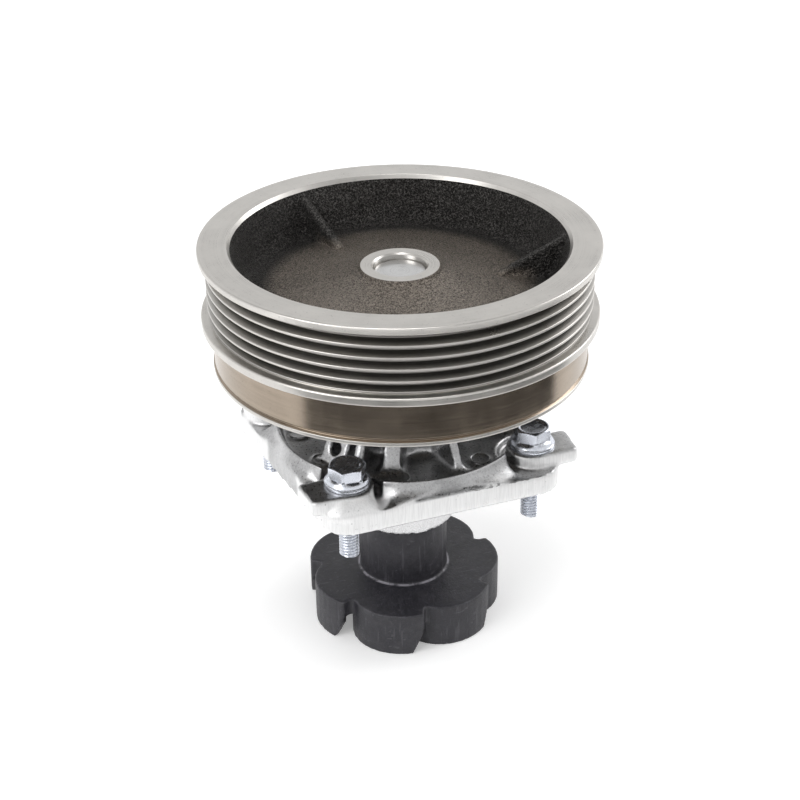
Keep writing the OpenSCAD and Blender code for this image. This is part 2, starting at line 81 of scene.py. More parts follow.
# Places of the four flange bolts in millimetres, and the turn of each bolt's hexagon in degrees.
LEFT_FRONT, RIGHT_FRONT, RIGHT_REAR, LEFT_REAR = (-28.0, -29.3), (30.6, -29.3), (35.0, 25.5), (-35.0, 25.5)
BOLTS = ((LEFT_FRONT, -3.5), (RIGHT_FRONT, 16.8), (RIGHT_REAR, 40.0), (LEFT_REAR, 22.0))


def millimetres(value):
    """A length of the CAD frame, which is in metres, in millimetres."""
    return value / MM


PULLEY_LOW, PULLEY_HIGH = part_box("pulley")
SHAFT_LOW, SHAFT_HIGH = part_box("shaft")
IMPELLER_LOW, IMPELLER_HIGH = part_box("impeller")


# ---- Property groups ----


def length(name, description, default):
    """A length property in metres, from a default in millimetres."""
    return bpy.props.FloatProperty(
        name=name, description=description, default=default * MM, min=0.0, max=0.2,
        precision=5, unit="LENGTH", subtype="DISTANCE",
    )


def colour(name, description, default):
    """A colour property."""
    return bpy.props.FloatVectorProperty(
        name=name, description=description, default=default, size=3, min=0, max=1, subtype="COLOR",
    )


def share(name, description, default):
    """A number from 0 to 1."""
    return bpy.props.FloatProperty(
        name=name, description=description, default=default, min=0, max=1, subtype="FACTOR",
    )


class PumpPulleySizes(bpy.types.PropertyGroup):
    """Sizes and colours of the cast pulley."""

    rim_radius: length("Rim radius", "Radius over the top flange", millimetres(PULLEY_HIGH.x))
    rim_top: length("Rim top", "Height of the rim's machined face", millimetres(PULLEY_HIGH.z))
    rim_bottom: length("Rim bottom", "Height of the rim's lower edge", millimetres(PULLEY_LOW.z))
    crest_radius: length("Crest radius", "Radius of the crests between the belt grooves", 57.1)
    groove_radius: length("Groove radius", "Radius at the bottom of a belt groove", 54.2)
    groove_pitch: length("Groove pitch", "Distance from groove to groove", 3.56)
    track_radius: length("Track radius", "Radius of the flat track for the belt's back", 55.95)
    dish_radius: length("Dish radius", "Radius of the dish at the rim's face", 50.4)
    dish_depth: length("Dish depth", "Depth of the dish's floor below the rim's face", 13.5)
    underside_radius: length("Underside radius", "Radius of the hollow under the dish", 50.95)
    hub_radius: length("Hub radius", "Radius of the machined ring round the shaft", 11.85)
    bore_radius: length("Bore radius", "Radius of the bore that the shaft is pressed into", 7.95)
    web_thickness: length("Web thickness", "Thickness of a triangular web in the dish", 3.0)
    floor_fall: length("Floor fall", "How far the dish's floor falls from the hub to the wall", 1.4)
    web_fillet: length("Web fillet", "Radius of the fillets at a web's roots", 1.6)
    skin_dark: colour("Skin, hollows", "Darkest colour of the cast skin", (0.017, 0.016, 0.015))
    skin_light: colour("Skin, grains", "Lightest colour of the cast skin", (0.17, 0.163, 0.155))
    dust_colour: colour("Dish floor", "Colour of the dish's smoother floor", (0.28, 0.245, 0.21))
    turned_colour: colour("Turned iron", "Colour of the machined faces", (0.62, 0.6, 0.57))
    track_colour: colour("Belt track", "Colour of the smooth belt track", (0.36, 0.3, 0.24))


class PumpHousingSizes(bpy.types.PropertyGroup):
    """Sizes and colours of the die-cast housing."""

    grain: length("Casting grain", "Smallest shape that the die casting keeps", 0.65)
    rib_fillet: length("Rib fillet", "Radius of the fillets at a rib's roots", 2.6)
    rib_foot_radius: length("Rib foot", "Radius that the tall ribs reach on the floor", 34.5)
    tower_radius: length("Tower radius", "Radius of the bearing tower at its foot", 19.3)
    floor_height: length("Floor height", "Height of the recessed floor", 9.0)
    drum_radius: length("Drum radius", "Radius of the drum's outer wall", 40.25)
    drum_fillet: length("Drum fillet", "Width of the hollow curve from the drum to the flange", 5.5)
    flange_height: length("Flange height", "Height of the flange's upper face", 6.5)
    mark_radius: length("Mark radius", "Radius of a round ejector mark", 3.1)
    skin_colour: colour("Cast skin", "Colour of the aluminium as it left the die", (0.56, 0.56, 0.565))
    sawn_colour: colour("Sanded edge", "Colour of the sanded side faces", (0.82, 0.82, 0.82))


class PumpBoltSizes(bpy.types.PropertyGroup):
    """Sizes and colours of the flange bolts."""

    across_flats: length("Across flats", "Width of the hexagon across its flats", 10.0)
    head_height: length("Head height", "Height of a bolt's head over its seat", 6.4)
    flange_radius: length("Flange radius", "Radius of a bolt's flange", 6.85)
    shank_length: length("Shank length", "Length of a bolt under its head", 25.0)
    thread_length: length("Thread length", "Length of a bolt's thread", 14.0)
    thread_radius: length("Thread radius", "Radius over the thread's crests", 3.0)
    thread_pitch: length("Thread pitch", "Rise of the thread in one turn", 1.0)
    zinc_colour: colour("Zinc", "Colour of the bright zinc plating", (0.76, 0.79, 0.86))


class PumpImpellerSizes(bpy.types.PropertyGroup):
    """Sizes and colours of the moulded impeller."""

    grain: length("Moulding grain", "Smallest shape that the moulding keeps", 0.44)
    plastic_colour: colour("Plastic", "Colour of the glass-filled plastic", (0.013, 0.0125, 0.0165))
    scuff_colour: colour("Scuffs", "Colour of the scuffs and of the mould's flash", (0.12, 0.115, 0.13))
    scuffs: share("Scuffs", "How much of the plastic is scuffed", 0.5)


class PumpStageSettings(bpy.types.PropertyGroup):
    """Camera, lights and floor."""

    eye: bpy.props.FloatVectorProperty(
        name="Eye", description="Place of the camera", default=(-0.15742, -0.42184, 0.26857),
        size=3, unit="LENGTH", subtype="TRANSLATION", precision=5,
    )
    azimuth: bpy.props.FloatProperty(
        name="Azimuth", description="Turn of the camera round the pump", default=math.radians(-20.4),
        subtype="ANGLE",
    )
    elevation: bpy.props.FloatProperty(
        name="Elevation", description="How far the camera looks down", default=math.radians(29.156),
        subtype="ANGLE",
    )
    roll: bpy.props.FloatProperty(
        name="Roll", description="Tilt of the camera about its line of sight",
        default=math.radians(-0.737), subtype="ANGLE",
    )
    lens: bpy.props.FloatProperty(
        name="Lens", description="Focal length in millimetres", default=75.584, min=10, max=300,
    )
    sky: bpy.props.FloatProperty(
        name="Sky", description="Strength of the white surroundings", default=0.95, min=0, max=5,
    )
    zenith: bpy.props.FloatProperty(
        name="Zenith", description="Strength of the surroundings overhead", default=0.35, min=0, max=5,
    )
    floor_colour: colour("Floor", "Colour of the pale floor", (0.9, 0.9, 0.9))
    floor_glow: share("Floor glow", "How much the floor is lit from below", 0.3)


# ---- Surfaces ----


class Shell:
    """A closed surface: points, faces and a finish number for each face.

    A face is four point numbers, and the last is -1 in a triangle. The faces are turned to point outwards
    by the sign of the enclosed volume, which is the sum over triangles of a . (b x c) / 6.
    """

    def __init__(self, points, faces, finishes):
        a, b, c = (points[faces[:, k]] for k in range(3))
        d = points[np.where(faces[:, 3] < 0, faces[:, 2], faces[:, 3])]
        volume = np.sum(a * np.cross(b, c)) + np.sum(a * np.cross(c, d))
        if volume < 0:
            faces = np.where(faces[:, 3:] < 0, faces[:, [2, 1, 0, 3]], faces[:, [3, 2, 1, 0]])
        self.points = points
        self.faces = faces
        self.finishes = finishes


def skin(grid, finishes=CAST, ring=False):
    """A shell from a grid of rows and columns whose columns close on themselves.

    With ring, the rows close too. Otherwise each end row is closed by a fan to its middle. finishes is one
    number or one for each strip between two rows.
    """
    rows, columns = grid.shape[:2]
    numbers = np.arange(rows * columns).reshape(rows, columns)
    here = numbers if ring else numbers[:-1]
    below = np.roll(numbers, -1, axis=0) if ring else numbers[1:]
    quads = np.stack([here, np.roll(here, -1, 1), np.roll(below, -1, 1), below], axis=-1)
    strips = np.broadcast_to(np.asarray(finishes), (len(here),))
    faces = quads.reshape(-1, 4)
    kinds = np.repeat(strips, columns)
    points = grid.reshape(-1, 3)
    if not ring:
        ends = np.array([grid[0].mean(axis=0), grid[-1].mean(axis=0)])
        points = np.concatenate([points, ends])
        for rim, middle, kind in ((numbers[0][::-1], rows * columns, strips[0]),
                                  (numbers[-1], rows * columns + 1, strips[-1])):
            hub = np.full(columns, middle)
            fan = np.stack([rim, np.roll(rim, -1), hub, np.full(columns, -1)], axis=-1)
            faces = np.concatenate([faces, fan])
            kinds = np.concatenate([kinds, np.full(columns, kind)])
    return Shell(points, faces, kinds)


def rounded(corners, steps=4):
    """Points of a closed outline with rounded corners, and the finish of each stretch.

    A corner is (x, y, radius, finish of the side that follows). A circle of that radius touches both sides,
    radius / tan(half angle) from the corner, with its centre on the angle's bisector; the arc between the
    touching points turns evenly from one radius vector to the other.
    """
    places = np.array([c[:2] for c in corners], float)
    points, kinds = [], []
    for i, (x, y, radius, kind) in enumerate(corners):
        here = places[i]
        back = places[i - 1] - here
        ahead = places[(i + 1) % len(corners)] - here
        back = back / np.linalg.norm(back)
        ahead = ahead / np.linalg.norm(ahead)
        half = math.acos(float(np.clip(back @ ahead, -1, 1))) / 2
        sweep = math.pi - 2 * half
        if radius <= 0 or sweep < 0.02:
            points.append(here[None])
            kinds.append([kind])
            continue
        centre = here + (back + ahead) / np.linalg.norm(back + ahead) * radius / math.sin(half)
        first = here + back * radius / math.tan(half) - centre
        last = here + ahead * radius / math.tan(half) - centre
        k = np.linspace(0, 1, steps + 1)[:, None]
        arc = (np.sin((1 - k) * sweep) * first + np.sin(k * sweep) * last) / math.sin(sweep)
        points.append(centre + arc)
        kinds.append([kind] * (steps + 1))
    return np.concatenate(points), np.concatenate(kinds)


def revolve(outline, kinds, columns):
    """A closed outline of (radius, height) points carried round Z: x = r cos a, y = r sin a, z = h."""
    a = np.linspace(0, 2 * np.pi, columns, endpoint=False)
    r, z = outline[:, 0, None], outline[:, 1, None]
    x, y = r * np.cos(a), r * np.sin(a)
    return skin(np.stack([x, y, np.broadcast_to(z, x.shape)], axis=-1), kinds, ring=True)


def flare(distance, radius):
    """Extra width of a root fillet at a distance from the wall: R - sqrt(R^2 - (R - d)^2), and R inside it."""
    gap = np.clip(radius - distance, 0, radius)
    return radius - np.sqrt(radius**2 - gap**2)


def gusset(turn, half, heights, wall, edge, ground, fillet, nose):
    """A rib or web that stands on a floor, leans on a round wall and widens into both with fillets.

    At each height, a flat loop runs from inside the wall along one side, round the free edge and back. A
    point at radius r is half + flare(distance to the wall) + flare(height over the floor) from the middle
    plane, and near the free edge that falls to zero along a quarter ellipse. wall, edge and ground give the
    wall's radius, the edge's radius and the floor's height.
    """
    z = heights[:, None]
    rise = flare(z - ground, fillet)
    way = np.sign(edge(z) - wall(z))
    tip = edge(z) + way * rise
    root = wall(z) - way * fillet * 0.6
    k = (1 - np.cos(np.linspace(0, np.pi, 22))) / 2
    r = root + (tip - root) * k
    wide = half + rise + flare(np.abs(r - wall(z)) * ((r - wall(z)) * way > 0), fillet)
    left = np.clip(np.abs(tip - r) / nose, 0, 1)
    wide = wide * np.sqrt(np.clip(1 - (1 - left) ** 2, 0, 1))
    sides = np.concatenate([wide, -wide[:, -2::-1]], axis=1)
    along = np.concatenate([r, r[:, -2::-1]], axis=1)
    c, s = math.cos(turn), math.sin(turn)
    x = along * c - sides * s
    y = along * s + sides * c
    return skin(np.stack([x, y, np.broadcast_to(z, x.shape)], axis=-1))


def mesh_of(name, shells):
    """One mesh from several shells, with each face's finish as its material number."""
    starts = np.cumsum([0] + [len(s.points) for s in shells])
    points = np.concatenate([s.points for s in shells])
    faces = np.concatenate([np.where(s.faces < 0, -1, s.faces + at) for s, at in zip(shells, starts)])
    kinds = np.concatenate([s.finishes for s in shells])
    used = faces >= 0
    sides = used.sum(axis=1)
    mesh = bpy.data.meshes.new(name)
    mesh.vertices.add(len(points))
    mesh.vertices.foreach_set("co", (points * MM).astype(np.float32).ravel())
    mesh.loops.add(int(sides.sum()))
    mesh.loops.foreach_set("vertex_index", faces[used].astype(np.int32))
    mesh.polygons.add(len(faces))
    mesh.polygons.foreach_set("loop_start", (np.cumsum(sides) - sides).astype(np.int32))
    mesh.polygons.foreach_set("material_index", kinds.astype(np.int32))
    mesh.update(calc_edges=True)
    mesh.validate()
    return mesh


def show(name, mesh, body, slot, finishes, *nodes, crease=35, flats=False):
    """Puts a mesh in the scene as a piece that rides on a body and stands for CAD nodes.

    With flats, the broad faces keep their own normals beside small roundings.
    """
    piece = bpy.data.objects.new(name, mesh)
    bpy.context.scene.collection.objects.link(piece)
    if flats:
        weights = piece.modifiers.new("Flat faces", "WEIGHTED_NORMAL")
        weights.keep_sharp = True
        weights.weight = 100
    mesh.polygons.foreach_set("use_smooth", np.ones(len(mesh.polygons), bool))
    mesh.set_sharp_from_angle(angle=math.radians(crease))
    for finish in finishes:
        mesh.materials.append(finish)
    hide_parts(*nodes)
    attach(piece, body)


def recast(name, node, grain, passes, extra=()):
    """The mesh of a CAD node with the soft edges of a casting or moulding.

    A copy of the node's mesh is merged and, with any extra shells, rebuilt on a grid of cubes of the
    grain's size; each point then moves half way to its neighbours' middle, a few times over.
    """
    source = bmesh.new()
    source.from_mesh(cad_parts[node].data)
    bmesh.ops.remove_doubles(source, verts=source.verts, dist=1e-7)
    for shell in extra:
        added = mesh_of("added", [shell])
        source.from_mesh(added)
        bpy.data.meshes.remove(added)
    mesh = bpy.data.meshes.new(name)
    source.to_mesh(mesh)
    source.free()
    block = bpy.data.objects.new(name + "_block", mesh)
    bpy.context.scene.collection.objects.link(block)
    remesh = block.modifiers.new("Grain", "REMESH")
    remesh.mode = "VOXEL"
    remesh.voxel_size = grain
    soften = block.modifiers.new("Soften", "SMOOTH")
    soften.factor = 0.5
    soften.iterations = passes
    bpy.context.view_layer.update()
    graph = bpy.context.evaluated_depsgraph_get()
    cast = bpy.data.meshes.new_from_object(block.evaluated_get(graph))
    cast.name = name
    bpy.data.objects.remove(block)
    bpy.data.meshes.remove(mesh)
    return cast


def mark(mesh, name, values):
    """Keeps a number for each point of a mesh, for its material to read."""
    attribute = mesh.attributes.new(name, "FLOAT", "POINT")
    attribute.data.foreach_set("value", np.clip(values, 0, 1).astype(np.float32))


def points_and_normals(mesh):
    """The mesh's points in millimetres and their normals, as arrays."""
    points = np.empty(len(mesh.vertices) * 3, np.float32)
    normals = np.empty(len(mesh.vertices) * 3, np.float32)
    mesh.vertices.foreach_get("co", points)
    mesh.vertex_normals.foreach_get("vector", normals)
    return points.reshape(-1, 3) / MM, normals.reshape(-1, 3)


def step(values, low, high):
    """0 below low, 1 above high and a smooth rise, t * t * (3 - 2 * t), between."""
    t = np.clip((values - low) / (high - low), 0, 1)
    return t * t * (3 - 2 * t)


# ---- Finishes ----


class Value:
    """A shader socket. Sums on it add the Math nodes that work them out."""

    def __init__(self, finish, socket):
        self.finish = finish
        self.socket = socket

    def maths(self, operation, first, second):
        return self.finish.node("ShaderNodeMath", {"operation": operation}, {0: first, 1: second})

    def __add__(self, other):
        return self.maths("ADD", self, other)

    def __radd__(self, other):
        return self.maths("ADD", other, self)

    def __sub__(self, other):
        return self.maths("SUBTRACT", self, other)

    def __rsub__(self, other):
        return self.maths("SUBTRACT", other, self)

    def __mul__(self, other):
        return self.maths("MULTIPLY", self, other)

    def __rmul__(self, other):
        return self.maths("MULTIPLY", other, self)

    def __pow__(self, other):
        return self.maths("POWER", self, other)


class Finish:
    """A material that is built node by node."""

    def __init__(self, name):
        self.material = bpy.data.materials.new(name)
        self.material.use_nodes = True
        self.tree = self.material.node_tree
        self.shader = self.tree.nodes["Principled BSDF"]
        self.place = self.node("ShaderNodeTexCoord", {}, {}, "Object")

    def node(self, kind, settings, inputs, output=0):
        """Adds a node: its settings first, then the values or links of its sockets."""
        made = self.tree.nodes.new(kind)
        for key, value in settings.items():
            setattr(made, key, value)
        for key, value in inputs.items():
            self.feed(made.inputs[key], value)
        return Value(self, made.outputs[output])

    def feed(self, socket, value):
        """Links or sets one socket."""
        if isinstance(value, Value):
            self.tree.links.new(value.socket, socket)
        else:
            socket.default_value = value

    def noise(self, scale, detail=3.0, roughness=0.55, place=None):
        """Noise from 0 to 1 whose smallest swell is about 1 / scale metres."""
        return self.node(
            "ShaderNodeTexNoise", {},
            {"Vector": place or self.place, "Scale": scale, "Detail": detail, "Roughness": roughness},
        )

    def stretched(self, x, y, z):
        """The place, stretched by a factor along each axis."""
        return self.node(
            "ShaderNodeVectorMath", {"operation": "MULTIPLY"}, {0: self.place, 1: (x, y, z)},
        )

    def parts(self):
        """Distance from the shaft's axis and height."""
        flat = self.stretched(1, 1, 0)
        away = self.node("ShaderNodeVectorMath", {"operation": "LENGTH"}, {0: flat}, "Value")
        return away, self.node("ShaderNodeSeparateXYZ", {}, {0: self.place}, "Z")

    def turning(self):
        """A place that is the same all round the axis, so that a pattern on it runs in tool lines."""
        away, height = self.parts()
        return self.node("ShaderNodeCombineXYZ", {}, {"X": away, "Z": height})

    def ramp(self, value, low, high, first=0.0, last=1.0):
        """Carries value from low..high to first..last, and stops at both ends."""
        return self.node(
            "ShaderNodeMapRange", {"clamp": True},
            {"Value": value, "From Min": low, "From Max": high, "To Min": first, "To Max": last},
        )

    def blend(self, factor, first, second):
        """A colour between two colours."""
        pair = [tuple(c) + (1.0,) if not isinstance(c, Value) else c for c in (first, second)]
        return self.node(
            "ShaderNodeMix", {"data_type": "RGBA"}, {0: factor, 6: pair[0], 7: pair[1]}, 2,
        )

    def attribute(self, name):
        """A number kept on the piece's points."""
        return self.node("ShaderNodeAttribute", {"attribute_name": name}, {}, "Fac")

    def bump(self, height, strength, distance, below=None):
        """A dent or rise of the surface, on top of another one."""
        inputs = {"Height": height, "Strength": strength, "Distance": distance}
        if below is not None:
            inputs["Normal"] = below
        return self.node("ShaderNodeBump", {}, inputs)

    def finished(self, **sockets):
        """Sets the surface's sockets, named with _ for each space, and gives the material."""
        for name, value in sockets.items():
            self.feed(self.shader.inputs[name.replace("_", " ")], value)
        return self.material


def shade(base, factor):
    """A colour whose parts are all multiplied by a factor, and stop at 1."""
    return tuple(min(1.0, part * factor) for part in base)


def cast_iron_finish(name, dark, light, dust):
    """Sand-cast iron: dark sparkling grains on the walls, and a smoother brownish floor that turns to the dark
    skin near the wall's foot as painted shade.
    """
    f = Finish(name)
    away, height = f.parts()
    webs_and_wall = f.ramp(height, 0.0585, 0.0605) * f.ramp(away, 0.026, 0.029)
    # wall also covers the floor from 36 to 41.5 mm out, beside the wall's foot; the dark skin there is painted
    # shade.
    wall = 1 - (1 - webs_and_wall) * (1 - f.ramp(away, 0.036, 0.0415))
    grain = f.noise(1650, 3, 0.6)
    sand = f.noise(3000, 2)
    cloud = f.noise(60, 3)
    spread = f.ramp(grain * 0.5 + sand * 0.5, 0.47, 0.66)
    steep = f.blend(spread, dark, light)
    patches = f.ramp(sand * 0.45 + grain * 0.45 + cloud * 0.1, 0.44, 0.57)
    worn = f.blend(patches, shade(dust, 0.25), dust)
    rough = f.ramp(sand, 0.35, 0.65, 0.24, 0.46)
    relief = grain * (0.6 + wall * 0.4)
    normal = f.bump(relief, 1.0, 0.0011, f.bump(sand, 0.7, 0.0002))
    return f.finished(
        Base_Color=f.blend(wall, worn, steep), Roughness=rough, Metallic=0.9, Normal=normal,
    )


def turned_iron_finish(name, base, roughness=0.3):
    """Turned iron: fine tool lines round the axis, with cloudy smudges."""
    f = Finish(name)
    round_place = f.turning()
    lines = f.noise(5200, 4, 0.7, round_place)
    broad = f.noise(900, 3, 0.6, round_place)
    smudge = f.noise(70, 4, 0.6)
    pits = f.ramp(f.noise(1500, 2), 0.66, 0.74)
    tone = f.ramp(lines * 0.6 + broad * 0.4, 0.3, 0.7)
    lined = f.blend(tone, shade(base, 0.66), base)
    coloured = f.blend(f.ramp(smudge, 0.35, 0.7), lined, base)
    marked = f.blend(pits * 0.5, coloured, shade(base, 0.45))
    rough = f.ramp(lines * 0.5 + smudge * 0.5, 0.3, 0.7, roughness * 0.75, roughness * 1.35)
    normal = f.bump(lines, 0.5, 0.000006, f.bump(broad, 0.5, 0.00002))
    return f.finished(Base_Color=marked, Roughness=rough, Metallic=1.0, Normal=normal)


def groove_finish(name, base, crest_radius, groove_radius):
    """Turned iron in the belt grooves: bright on the crests, with painted shade darkening it down in the
    valleys.
    """
    f = Finish(name)
    away, _ = f.parts()
    up = f.ramp(away, groove_radius, crest_radius)
    lines = f.noise(4200, 4, 0.7, f.turning())
    streak = f.noise(60, 4, 0.6)
    tone = f.ramp(lines, 0.3, 0.7)
    # valley is painted shade: the groove's colour darkens with depth towards each groove's bottom.
    valley = f.blend(tone, shade(base, 0.2), shade(base, 0.36))
    crest = f.blend(tone, shade(base, 0.8), base)
    coloured = f.blend(up**1.8, valley, crest)
    rough = f.ramp(streak, 0.3, 0.7, 0.26, 0.42)
    normal = f.bump(lines, 0.5, 0.000006)
    return f.finished(Base_Color=coloured, Roughness=rough, Metallic=1.0, Normal=normal)


def housing_finish(name, skin_colour, sawn_colour):
    """Die-cast aluminium: a cloudy skin, bright sanded sides with scratches and a pitted front edge."""
    f = Finish(name)
    sawn = f.attribute("sanded")
    cut = f.attribute("machined")
    flow = f.noise(140, 4, 0.6)
    fine = f.noise(1500, 3, 0.6)
    upright = f.noise(2600, 3, 0.6, f.stretched(1, 1, 0.06))
    pits = f.ramp(f.noise(850, 2), 0.69, 0.76)
    x, y, z = (f.node("ShaderNodeSeparateXYZ", {}, {0: f.place}, axis) for axis in "XYZ")
    edge = f.ramp(z, 0.0048, 0.0064) * f.ramp(y, -0.0397, -0.0402) * f.ramp(x, -0.004, 0.004)
    torn = f.ramp(f.noise(420, 3, 0.6) * edge, 0.5, 0.56)
    dull = shade(skin_colour, 0.6)
    body = f.blend(f.ramp(flow * 0.5 + fine * 0.5, 0.36, 0.64), dull, skin_colour)
    clean = f.blend(cut * 0.8, body, shade(skin_colour, 1.25))
    sides = f.blend(f.ramp(upright, 0.32, 0.6), shade(sawn_colour, 0.86), sawn_colour)
    plain = f.blend(sawn, clean, sides)
    spotted = f.blend(pits * 0.5 * (1 - cut) + torn * 0.8, plain, (0.14, 0.14, 0.14))
    smooth = f.ramp(fine, 0.3, 0.7, 0.24, 0.42) - cut * 0.04
    coarse = f.ramp(upright, 0.3, 0.7, 0.4, 0.58)
    rough = smooth * (1 - sawn) + coarse * sawn
    metal = 1 - sawn * 0.55
    relief = (fine * (1 - sawn) + upright * sawn) * (1 - cut * 0.9)
    normal = f.bump(relief, 0.35, 0.0001, f.bump(flow * (1 - cut), 0.25, 0.00025))
    return f.finished(Base_Color=spotted, Roughness=rough, Metallic=metal, Normal=normal)


def zinc_finish(name, base):
    """Bright zinc: bluish silver with faint clouds and handling marks."""
    f = Finish(name)
    cloud = f.noise(420, 4, 0.6)
    speck = f.ramp(f.noise(3000, 2), 0.6, 0.72)
    tone = f.blend(f.ramp(cloud, 0.35, 0.65), shade(base, 0.84), base)
    coloured = f.blend(speck * 0.35, tone, (0.92, 0.94, 0.97))
    rough = f.ramp(cloud, 0.3, 0.7, 0.2, 0.32)
    normal = f.bump(cloud, 0.12, 0.00004, f.bump(f.noise(2600, 2), 0.15, 0.00002))
    return f.finished(Base_Color=coloured, Roughness=rough, Metallic=1.0, Normal=normal)


def plastic_finish(name, base, scuff, amount):
    """Glass-filled plastic: charcoal with short glass streaks, dusty scuffs and pale flash on its edges."""
    f = Finish(name)
    fibres = f.noise(2300, 3, 0.7, f.stretched(1, 0.4, 1.3))
    dust = f.noise(300, 4, 0.7)
    cloud = f.noise(55, 3)
    upright = f.ramp(f.noise(900, 2, 0.5, f.stretched(1, 1, 0.1)), 0.63, 0.68)
    slanted = f.ramp(f.noise(700, 2, 0.5, f.stretched(0.12, 1.5, 1)), 0.66, 0.7)
    flash = f.attribute("flash")
    away, height = f.parts()
    corner = f.ramp(height, -0.0421, -0.0419) * f.ramp(height, -0.0415, -0.0417)
    ring = corner * f.ramp(away, 0.0149, 0.0146) * f.ramp(f.noise(350, 3), 0.4, 0.55)
    glitter = f.ramp(fibres, 0.48, 0.7)
    plain = f.blend(glitter, base, shade(base, 2.6))
    dusted = f.ramp(dust * 0.5 + cloud * 0.5, 0.45, 0.66)
    dusty = f.blend(dusted * amount, plain, shade(scuff, 0.45))
    coloured = f.blend((upright * 0.4 + slanted * 0.5) * amount, dusty, scuff)
    pale = flash * f.ramp(dust, 0.35, 0.65, 0.1, 0.6) + ring * 0.9
    edged = f.blend(pale, coloured, shade(scuff, 1.8))
    rough = f.ramp(fibres, 0.3, 0.7, 0.36, 0.6)
    normal = f.bump(fibres, 0.7, 0.00012, f.bump(dust, 0.4, 0.0003))
    return f.finished(Base_Color=edged, Roughness=rough, Metallic=0.0, Normal=normal)


def ground_steel_finish(name, base, roughness=0.22):
    """Ground steel: very fine lines round the axis and a few darker stains."""
    f = Finish(name)
    lines = f.noise(7000, 3, 0.6, f.turning())
    stain = f.noise(160, 4, 0.6)
    tone = f.blend(f.ramp(lines, 0.3, 0.7), shade(base, 0.8), base)
    coloured = f.blend(f.ramp(stain, 0.56, 0.72) * 0.5, tone, shade(base, 0.45))
    rough = f.ramp(stain, 0.3, 0.7, roughness * 0.8, roughness * 1.4)
    return f.finished(
        Base_Color=coloured, Roughness=rough, Metallic=1.0, Normal=f.bump(lines, 0.5, 0.000004),
    )


def moulded_finish(name, base, roughness, grain=900, relief=0.00006):
    """Moulded rubber or plastic: a soft grain and slightly worn clouds."""
    f = Finish(name)
    fine = f.noise(grain * 2, 3, 0.6)
    cloud = f.noise(grain / 6, 3)
    lighter = tuple(min(1.0, c * 1.7 + 0.01) for c in base)
    coloured = f.blend(f.ramp(fine * 0.5 + cloud * 0.5, 0.35, 0.7), base, lighter)
    rough = f.ramp(cloud, 0.3, 0.7, roughness * 0.85, min(1.0, roughness * 1.2))
    return f.finished(Base_Color=coloured, Roughness=rough, Metallic=0.0, Normal=f.bump(fine, 0.4, relief))


# ---- Operators ----


